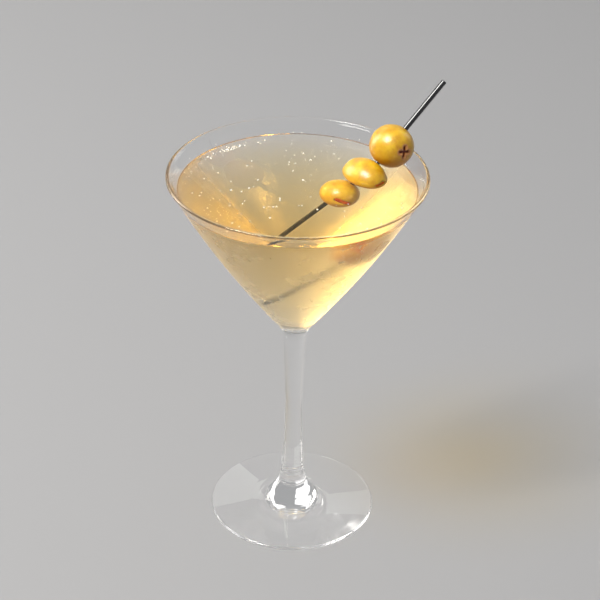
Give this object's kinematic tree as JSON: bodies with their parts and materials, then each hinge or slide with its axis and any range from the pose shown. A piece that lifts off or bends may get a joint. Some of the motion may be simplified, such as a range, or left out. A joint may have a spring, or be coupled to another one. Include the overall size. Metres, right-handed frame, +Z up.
{
  "type": "dry cocktail in a stemmed glass with olives on a pick",
  "caption": "Dry martini cocktail in its stemmed V-shaped glass, pale straw drink filled close to the rim, stuffed green olives on a black pick that leans on the bowl.",
  "frame": {"origin": "centre of the foot's flat underside, on the table, on the stem's axis", "axes": "+Z up along the stem, +X towards the side that the pick leans to and -Y towards the viewer of the picture"},
  "size_m": [0.1232, 0.116, 0.209],
  "materials": {
    "glass": "clear polished glass",
    "drink": "pale straw drink, slightly cloudy",
    "pick": "glossy black",
    "olive": "wet golden green olive skin",
    "pimento": "wet orange-red pimento"
  },
  "bodies": {
    "root": {"glass": "glass", "drink": "drink", "pick": "pick", "olive_upper": "olive", "olive_middle": "olive", "olive_lower": "olive", "pimento_upper": "pimento", "pimento_middle": "pimento", "pimento_lower": "pimento"}
  },
  "joints": []
}
